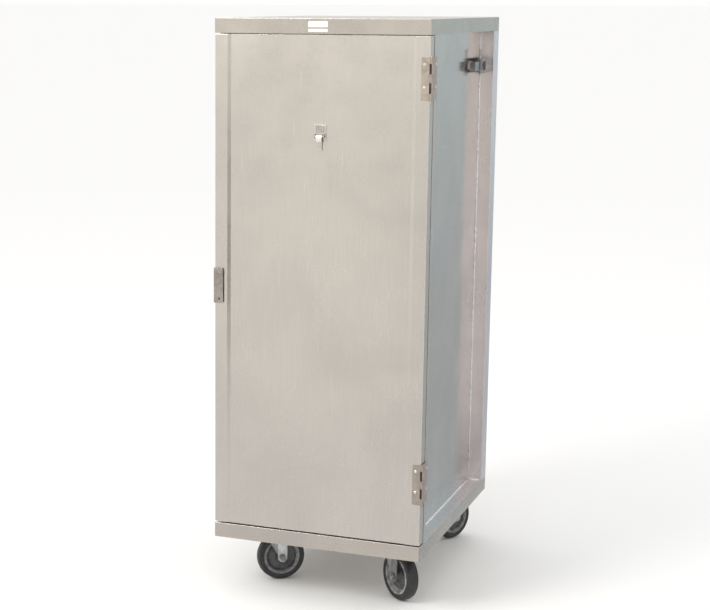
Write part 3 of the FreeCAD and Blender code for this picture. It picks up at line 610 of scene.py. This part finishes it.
def bead(shape, start, end, radius, seed):
    """A weld bead: a ridge of overlapping ripples from start to end."""
    start, end = Vector(start), Vector(end)
    run = end - start
    along = run.normalized()
    side = along.orthogonal().normalized()
    up = along.cross(side)
    steps = max(6, int(run.length / (0.9 * MM)))
    around = 10
    rings = []
    for i in range(steps + 1):
        t = i / steps
        taper = math.sqrt(max(0.0, min(1.0, 6 * t, 6 * (1 - t))))
        ripple = 1 + 0.16 * math.sin(i * 1.9) + 0.3 * noise.noise(Vector((i * 0.23, seed, 0)))
        size = radius * (0.25 + 0.75 * taper) * ripple
        middle = start + run * t
        rings.append([
            shape.verts.new(middle + (side * math.cos(a) + up * math.sin(a)) * size)
            for a in (math.tau * k / around for k in range(around))
        ])
    for ring, following in zip(rings, rings[1:]):
        for k in range(around):
            shape.faces.new((ring[k], ring[k - 1], following[k - 1], following[k]))
    shape.faces.new(rings[0])
    shape.faces.new(rings[-1][::-1])


def build_welds():
    """Beads round the corner posts' feet, along the side sheets' feet and up the rear corners."""
    shape = bmesh.new()
    lift = DECK_Z + 0.5 * MM
    for side, sign, outer in (("left", -1, 0), ("right", 1, 1)):
        skin_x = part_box(side + "_side_skin")[outer].x
        for end in ("front", "rear"):
            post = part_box(f"{end}_{side}_post")
            low, high = post
            face_y = high.y if end == "front" else low.y
            out_x = post[outer].x
            web = (skin_x + sign * 4 * MM, out_x - sign * 5 * MM)
            bead(shape, (web[0], face_y, lift), (web[1], face_y, lift), 3.2 * MM, face_y)
            lip_x = out_x - sign * MM
            bead(shape, (lip_x, low.y + 3 * MM, lift), (lip_x, high.y - 4 * MM, lift), 2.0 * MM, out_x)
        front_y, rear_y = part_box(f"front_{side}_post")[1].y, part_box(f"rear_{side}_post")[0].y
        foot_x = skin_x + sign * 0.8 * MM
        corner = (foot_x, rear_y - 0.8 * MM)
        bead(shape, (*corner, lift), (*corner, CAP_Z - MM), 2.0 * MM, skin_x)
        bead(shape, (foot_x, front_y + 2 * MM, lift), (foot_x, rear_y - 2 * MM, lift), 2.4 * MM, out_x)
    bmesh.ops.recalc_face_normals(shape, faces=shape.faces[:])
    to_piece(shape, "foot_welds", "cabinet", "mill_aluminium", "weld")


build_welds()


# ---------------------------------------------------------------- fittings

def screw_head(shape, centre, axis, radius, height, darkness):
    """A domed head with a cross recess, standing on the face at `centre`."""
    layer = face_layer(shape, "painted_dark")
    across = axis.orthogonal().normalized()
    up = axis.cross(across)
    count, rings = 48, 14
    arm_half, arm_reach, deep = 0.17 * radius, 0.55 * radius, 0.62 * height
    slope_start, slope_run = 0.08, 0.12
    grid = []
    for j in range(rings + 1):
        r = radius * (1 - (j / rings) ** 1.3)
        dome = height * (1 - (r / radius) ** 2.8)
        row = []
        for i in range(count if j < rings else 1):
            a = math.tau * i / count
            u, v = r * math.cos(a), r * math.sin(a)
            level_arm = max(abs(v) - arm_half, abs(u) - arm_reach)
            upright_arm = max(abs(u) - arm_half, abs(v) - arm_reach)
            outside = min(level_arm, upright_arm) / radius
            rise = dome - deep * (1 - eased((outside + slope_start) / slope_run))
            row.append(shape.verts.new(centre + across * u + up * v + axis * rise))
        grid.append(row)
    for row, inner in zip(grid, grid[1:]):
        for i in range(count):
            k = (i + 1) % count
            tip = inner if len(inner) == 1 else [inner[k], inner[i]]
            shape.faces.new([row[i], row[k], *tip])[layer] = darkness
    base = [shape.verts.new(vert.co - axis * height * 0.2) for vert in grid[0]]
    for i in range(count):
        k = (i + 1) % count
        shape.faces.new((base[i], base[k], grid[0][k], grid[0][i]))
    shape.faces.new(base[::-1])


def build_screws():
    """Domed heads. The edge pull's two are smaller than the hinges', and both are painted darker, the lower one
    much more.
    """
    pull_z = sum(corner.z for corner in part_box("door_pull")) / 2
    kinds = (("door_screws", 1, -1, 2.2 * MM), ("frame_hinge_screws", 0, 1, 1.5 * MM))
    for node, axis, toward, height in kinds:
        shape = bmesh.new()
        for low, high in islands(welded(node)):
            centre = (low + high) / 2
            centre[axis] = (low if toward < 0 else high)[axis] - toward * height
            spread, darkness = 1.2, 0.0
            # The pull's screws are painted darker, the lower one much more.
            if centre.x < 0:
                spread, darkness = 0.8, 0.9 if centre.z < pull_z else 0.3
            screw_head(shape, centre, unit(axis) * toward, spread * (high.z - low.z) / 2, height, darkness)
        bmesh.ops.recalc_face_normals(shape, faces=shape.faces[:])
        stand_in(shape, node)


build_screws()

PIN = Vector(JOINTS["door_hinge"]["pos_m"])
KNUCKLE = 4.2 * MM
PIN_BORE = 2.55 * MM
LEAF_CORNER = 2.5 * MM
LEAF_EDGE = 0.35 * MM
# The door leaf's own knuckles: how far up the leaf each starts and ends, in millimetres. The
# first and last reach the leaf's ends.
DOOR_KNUCKLES = ((0, 20), (50, 74), (103, 121))


def build_door_leaves():
    """Door leaves cut back round the frame's knuckles, with painted shade in the slots that this leaves."""
    notch = PIN.x - 6.5 * MM
    shape = bmesh.new()
    painted_dark = face_layer(shape, "painted_dark")
    slots = []
    for low, high in islands(welded("door_hinge_leaves")):
        edge = []
        for start, end in DOOR_KNUCKLES:
            edge += [(notch, low.z + start * MM), (PIN.x, low.z + start * MM)]
            edge += [(PIN.x, low.z + end * MM), (notch, low.z + end * MM)]
        outline = [(low.x, low.z)] + edge[1:-1] + [(low.x, high.z)]
        prism(shape, outline, 1, FRONT_Y - 2 * MM, FRONT_Y)
        for start, end in DOOR_KNUCKLES:
            middle = Vector((PIN.x, PIN.y, low.z + (start + end) / 2 * MM))
            half = (end - start) / 2 * MM
            lathe(shape, rectangle((PIN_BORE, KNUCKLE), (-half, half)), middle, (0, 0, 1), 40)
        for (_, start), (end, _) in zip(DOOR_KNUCKLES, DOOR_KNUCKLES[1:]):
            slots.append((low.z + start * MM, low.z + end * MM))
    bevel(shape, LEAF_CORNER, 3, lambda middle, along: middle.x < notch - 10 * MM and abs(along.y) > 0.9)
    bevel(shape, LEAF_EDGE)
    # A thin dark strip in each slot: painted shade, not a part of the hinge.
    for span in slots:
        across = (notch - 0.4 * MM, PIN.x - KNUCKLE - 0.1 * MM)
        for face in prism(shape, rectangle(across, span), 1, FRONT_Y - 0.5 * MM, FRONT_Y):
            face[painted_dark] = 1.0
    stand_in(shape, "door_hinge_leaves")


def build_frame_leaves():
    """Frame leaves with rounded rear corners, and painted shade on the knuckles between the door's."""
    shape = welded("frame_hinge_leaves")
    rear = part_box("frame_hinge_leaves")[1].y
    bevel(shape, LEAF_CORNER, 3, lambda middle, along: middle.y > rear - 0.2 * MM and abs(along.x) > 0.9)
    bevel(shape, LEAF_EDGE)
    painted_dark = face_layer(shape, "painted_dark")
    # The knuckles' faces between the door's get painted shade.
    for face in shape.faces:
        middle = face.calc_center_median()
        if middle.x < PIN.x + 1.5 * MM and middle.y < PIN.y + KNUCKLE:
            face[painted_dark] = 0.9
    stand_in(shape, "frame_hinge_leaves", "side_tinted_steel")


build_door_leaves()
build_frame_leaves()
refined("hinge_pins", 0.8 * MM)


def build_pull():
    """The edge pull: rounded plate corners and a rounded bend round the door's edge."""
    low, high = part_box("door_pull")
    shape = welded("door_pull")

    def plate_corner(middle, along):
        return abs(along.y) > 0.9 and abs(middle.x - high.x) < 0.2 * MM

    def bend(middle, along):
        return abs(along.z) > 0.9 and abs(middle.x - low.x) < 0.2 * MM

    bevel(shape, 5 * MM, 4, plate_corner)
    bevel(shape, 1.2 * MM, 3, bend)
    bevel(shape, FINE_EDGE)
    stand_in(shape, "door_pull", "pull_steel")


build_pull()


def build_clip_plate():
    """The card clip's plate, with five upright ribs above the jaw's nose, each with painted shade."""
    low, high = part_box("clip_bracket")
    shape = welded("clip_bracket")
    bevel(shape, FINE_EDGE)
    painted_dark = face_layer(shape, "painted_dark")
    face_y = high.y - 1.5 * MM
    upright = (low.z + 21 * MM, high.z - 4 * MM)
    for i in range(5):
        rib_x = low.x + (8.0 + 5.4 * i) * MM
        outline = rectangle((rib_x, rib_x + 1.6 * MM), upright)
        # Each rib gets painted shade so that it stands out from the plate.
        for face in prism(shape, outline, 1, face_y - 0.7 * MM, face_y):
            face[painted_dark] = 0.3
    stand_in(shape, "clip_bracket", "clip_sheet")


def build_clip_jaw():
    """The jaw: a rolled nose with a painted highlight over the pin, a narrow tongue below and a gripping foot."""
    low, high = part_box("clip_jaw")
    middle = (low.x + high.x) / 2
    nose_y, nose_z = FRONT_Y - 3.5 * MM, low.z + 32.5 * MM
    wall, deep, tall = 1.4 * MM, 5.5 * MM, 11.4 * MM
    steps = 14
    turns = [math.pi * k / steps for k in range(steps + 1)]
    outside = [(nose_y - deep * math.sin(a), nose_z + tall * math.cos(a)) for a in turns]
    deep, tall = deep - wall, tall - wall
    inside = [(nose_y - deep * math.sin(a), nose_z + tall * math.cos(a)) for a in turns]
    shape = bmesh.new()
    painted_sheen = face_layer(shape, "painted_sheen")
    # The nose's faces get a painted highlight.
    for face in prism(shape, outside + inside[::-1], 0, middle - 9 * MM, middle + 8 * MM):
        face[painted_sheen] = 0.7
    tongue = (middle - 7 * MM, middle + 7 * MM)
    prism(shape, rectangle(tongue, (low.z, nose_z - 8 * MM)), 1, FRONT_Y - 0.4 * MM, FRONT_Y + 0.8 * MM)
    prism(shape, rectangle(tongue, (low.z, low.z + 3 * MM)), 1, FRONT_Y - 2.2 * MM, FRONT_Y + 2.2 * MM)
    bevel(shape, 0.3 * MM)
    stand_in(shape, "clip_jaw", "clip_sheet")


build_clip_plate()
refined("clip_pin", 0.3 * MM)
build_clip_jaw()
refined("catch_bracket", FINE_EDGE, "catch_steel")
refined("catch_pin", FINE_EDGE)
refined("catch_hook", FINE_EDGE, "catch_steel")
refined("magnet_strikes", 0.3 * MM)
refined("door_magnets", FINE_EDGE)


def build_name_plate():
    """A small plate with rounded corners."""
    shape = welded("name_plate")
    bevel(shape, 3 * MM, 4, lambda middle, along: abs(along.y) > 0.9)
    bevel(shape, 0.25 * MM)
    stand_in(shape, "name_plate")


build_name_plate()


# ---------------------------------------------------------------- casters

# How each caster is painted darker and lighter: how strongly, 0 to 1, its axle is painted darker, its fork's wings
# get painted shade and its fork's upright strips are painted darker; then the radius from which its hub's dish
# gets a painted highlight of its lit rim, and how strong that is.
CASTERS = {
    "front_left": (0.6, 0.5, 0.0, 46.5 * MM, 0.65),
    "front_right": (0.25, 0.0, 0.4, 42.5 * MM, 1.0),
    "rear_left": (0.25, 0.2, 0.1, 46.5 * MM, 0.65),
    "rear_right": (0.25, 0.2, 0.1, 46.5 * MM, 0.65),
}
HALF_TREAD = 19 * MM
HALF_HUB = 17 * MM
HALF_BOSS = 22.2 * MM
AXLE_BORE = 6.1 * MM
WEB = 7 * MM  # half the thickness of the hub's dish
TYRE_DEPTH = 19 * MM
STRIP_REACH = 15 * MM  # from the axle to the fold between a fork's strip and its wing
KING_HOLE = 6.8 * MM  # the radius of the fork's hole for the kingpin
WHEEL_STEPS = 128


def mirrored(half):
    """A wheel's whole (radius, height) outline from its upper half."""
    return half + [(radius, -height) for radius, height in half[::-1]]


def build_tyre(name, centre, axis, reach):
    """A solid tyre with a slightly crowned tread and round shoulders."""
    rim = reach - TYRE_DEPTH
    half = [(rim, HALF_HUB), (rim + 4 * MM, HALF_HUB + 0.4 * MM), (reach - 7 * MM, HALF_TREAD)]
    half += [(reach - 2 * MM, HALF_TREAD - 5 * MM), (reach, 2.5 * MM)]
    radii = [0, 3 * MM, 5 * MM, 7 * MM, 2 * MM]
    shape = bmesh.new()
    lathe(shape, softened(mirrored(half), radii + radii[::-1]), centre, axis, WHEEL_STEPS)
    stand_in(shape, name + "_tyre")


def build_hub(name, centre, axis, reach, lit_rim_from, lit_rim_strength):
    """A dished hub with a boss, a raised ring and a rim, with a painted highlight of its lit rim outwards from a
    radius.
    """
    half = [(AXLE_BORE, HALF_BOSS), (15 * MM, HALF_BOSS), (20 * MM, 9 * MM), (42 * MM, WEB)]
    half += [(48 * MM, 15.5 * MM), (50 * MM, HALF_HUB + 0.8 * MM), (53.5 * MM, HALF_HUB + 0.8 * MM)]
    half += [(54.5 * MM, HALF_HUB), (reach - TYRE_DEPTH, HALF_HUB)]
    radii = [0, 2 * MM, 4 * MM, 4 * MM, 3 * MM, MM, MM, MM, 0]
    shape = bmesh.new()
    layer = face_layer(shape, "wear_and_highlight")
    for face in lathe(shape, softened(mirrored(half), radii + radii[::-1]), centre, axis, WHEEL_STEPS):
        spot = face.calc_center_median() - centre
        level = abs(spot.dot(axis))
        from_axis = math.sqrt(max(0.0, spot.length_squared - level * level))
        # Faces of the dish beyond the radius get a painted highlight of the lit rim.
        if level > WEB + 0.5 * MM and from_axis > lit_rim_from:
            face[layer] = lit_rim_strength
    stand_in(shape, name + "_hub")


def build_axle(name, darkened_by):
    """The axle bolt and its nut, painted evenly darker."""
    shape = welded(name + "_axle")
    bevel(shape, 0.7 * MM)
    painted_dark = face_layer(shape, "painted_dark")
    # The whole axle is painted evenly darker.
    for face in shape.faces:
        face[painted_dark] = darkened_by
    stand_in(shape, name + "_axle", "zinc_steel")


def build_fork(name, centre, axis, wing_painted_shade, strip_darkening):
    """The pressed fork: a rounded crown, a round hole for the kingpin, painted shade on its legs' wings and
    painted darkening on its upright strips.
    """
    crown_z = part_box(name + "_fork")[1].z
    shape = welded(name + "_fork")
    bevel(shape, 2.4 * MM, 3, lambda middle, along: middle.z > crown_z - NEAR)
    bevel(shape, 0.8 * MM)
    swivel = Vector(JOINTS[name + "_swivel_turn"]["pos_m"])
    for vert in shape.verts:
        spoke = Vector((vert.co.x - swivel.x, vert.co.y - swivel.y, 0))
        if spoke.length < KING_HOLE:
            vert.co += spoke.normalized() * (KING_HOLE - spoke.length)

    middle = sum((vert.co for vert in shape.verts), Vector((0, 0, 0))) / len(shape.verts)
    ahead = axis.cross(Vector((0, 0, 1))).normalized()
    if ahead.dot(middle - centre) > 0:
        ahead = -ahead
    fold = centre - ahead * STRIP_REACH
    everything = shape.verts[:] + shape.edges[:] + shape.faces[:]
    bmesh.ops.bisect_plane(shape, geom=everything, plane_co=fold, plane_no=ahead, dist=WELD)
    painted_dark = face_layer(shape, "painted_dark")
    # Wings get painted shade; upright strips are painted darker.
    for face in shape.faces:
        if abs(face.normal.dot(axis)) > 0.9:
            on_wing = (face.calc_center_median() - fold).dot(ahead) < 0
            face[painted_dark] = wing_painted_shade if on_wing else strip_darkening
    stand_in(shape, name + "_fork")


def build_casters():
    """Top plates, bolts, and each caster's tyre, hub, axle and fork."""
    refined("caster_plates", 0.6 * MM)
    refined("caster_bolts", FINE_EDGE)
    for name, (axle_darkening, wing_painted_shade, strip_darkening, lit_rim_from, lit_rim_strength) in CASTERS.items():
        spin = JOINTS[name + "_wheel_spin"]
        centre, axis = Vector(spin["pos_m"]), Vector(spin["axis"])
        low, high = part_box(name + "_tyre")
        reach = (high.z - low.z) / 2
        build_tyre(name, centre, axis, reach)
        build_hub(name, centre, axis, reach, lit_rim_from, lit_rim_strength)
        build_axle(name, axle_darkening)
        build_fork(name, centre, axis, wing_painted_shade, strip_darkening)


build_casters()

for node, solid in NODES.items():
    solid.data.materials.clear()
    solid.data.materials.append(FINISHES[SLOT_OF[node]])


# ---------------------------------------------------------------- studio

def add_camera():
    """A long lens in front and to the right, level with the cabinet's top and looking a little down."""
    data = bpy.data.cameras.new("camera")
    data.sensor_width = 36.0
    data.lens = 84.12
    data.shift_x = 0.162
    data.clip_end = 2000
    camera = bpy.data.objects.new("camera", data)
    bpy.context.scene.collection.objects.link(camera)
    left, front, skirt = TRAY_LOW
    camera.location = (left + 1.8815, front - 4.5136, skirt + 1.6172)
    turn = Matrix.Rotation(math.radians(21.74), 3, "Z")
    tilt = Matrix.Rotation(math.radians(79.62), 3, "X")
    roll = Matrix.Rotation(math.radians(0.17), 3, "Z")
    camera.rotation_euler = (turn @ tilt @ roll).to_euler()
    bpy.context.scene.camera = camera


def stage_sheet(name, width, height, centre, facing):
    """A flat sheet of the studio, and its shader."""
    mesh = bpy.data.meshes.new(name)
    w, h = width / 2, height / 2
    mesh.from_pydata([(-w, -h, 0), (w, -h, 0), (w, h, 0), (-w, h, 0)], [], [(0, 1, 2, 3)])
    sheet = bpy.data.objects.new(name, mesh)
    bpy.context.scene.collection.objects.link(sheet)
    sheet.location = centre
    sheet.rotation_euler = Vector(facing).to_track_quat("Z", "Y").to_euler()
    material = bpy.data.materials.new(name)
    material.use_nodes = True
    mesh.materials.append(material)
    shader = material.node_tree.nodes["Principled BSDF"]
    shader.inputs["Roughness"].default_value = 0.9
    return sheet, shader


def add_floor(name, size, colour):
    """A plain pale floor."""
    _, shader = stage_sheet(name, size, size, (0, 0, 0), (0, 0, 1))
    shader.inputs["Base Color"].default_value = colour


def add_card(name, width, height, centre, facing, colour, foot=None):
    """A glowing card that only reflections show; it shades to the `foot` colour downwards."""
    card, shader = stage_sheet(name, width, height, centre, facing)
    shader.inputs["Base Color"].default_value = (0, 0, 0, 1)
    shader.inputs["Specular IOR Level"].default_value = 0.0
    shader.inputs["Emission Color"].default_value = colour
    shader.inputs["Emission Strength"].default_value = 1.0
    if foot:
        tree = shader.id_data
        spot = tree.nodes.new("ShaderNodeTexCoord")
        split = tree.nodes.new("ShaderNodeSeparateXYZ")
        share = tree.nodes.new("ShaderNodeMapRange")
        share.inputs["From Min"].default_value = -0.42 * height
        share.inputs["From Max"].default_value = 0.0
        shade = tree.nodes.new("ShaderNodeMix")
        shade.data_type = "RGBA"
        shade.inputs[6].default_value = foot
        shade.inputs[7].default_value = colour
        tree.links.new(spot.outputs["Object"], split.inputs["Vector"])
        tree.links.new(split.outputs["Y"], share.inputs["Value"])
        tree.links.new(share.outputs["Result"], shade.inputs[0])
        tree.links.new(shade.outputs[2], shader.inputs["Emission Color"])
    card.visible_camera = False
    card.visible_diffuse = False
    card.visible_shadow = False
    card.visible_transmission = False


def add_area(name, location, aim, size, power, colour):
    """A round soft light aimed at a point."""
    data = bpy.data.lights.new(name, "AREA")
    data.shape = "DISK"
    data.size = size
    data.energy = power
    data.color = colour
    light = bpy.data.objects.new(name, data)
    bpy.context.scene.collection.objects.link(light)
    light.location = location
    light.rotation_euler = (Vector(aim) - Vector(location)).to_track_quat("-Z", "Y").to_euler()


def build_studio():
    """A white room: even light all round, one soft key light, and cards for the metal to reflect."""
    world = bpy.data.worlds.new("studio")
    bpy.context.scene.world = world
    world.use_nodes = True
    background = world.node_tree.nodes["Background"]
    background.inputs["Color"].default_value = (1.0, 0.995, 0.985, 1)
    background.inputs["Strength"].default_value = 1.0
    add_floor("floor", 1600, (0.96, 0.96, 0.955, 1))
    cool, near = (0.61, 0.70, 0.735, 1), (0.49, 0.53, 0.565, 1)
    pale, black = (0.92, 0.92, 0.94, 1), (0.04, 0.04, 0.04, 1)
    up = (0, 0, 1)
    add_card("cool_card", 4.4, 3.2, (2.0, 2.4, 1.6), (-0.75, -0.65, 0), cool, near)
    add_card("cool_floor", 2.6, 4.6, (1.75, 1.2, 0.004), up, near)
    add_card("front_floor", 6.0, 3.6, (-0.9, -2.4, 0.003), up, pale)
    add_card("dark_card", 0.7, 0.9, (0.26, -3.1, 0.72), (-0.1, 1, 0), black)
    add_area("key", (-2.6, -4.2, 4.2), (0, 0, 0.9), 2.6, 160, (1.0, 0.98, 0.95))
    bpy.context.scene.view_settings.view_transform = "Standard"


add_camera()
build_studio()
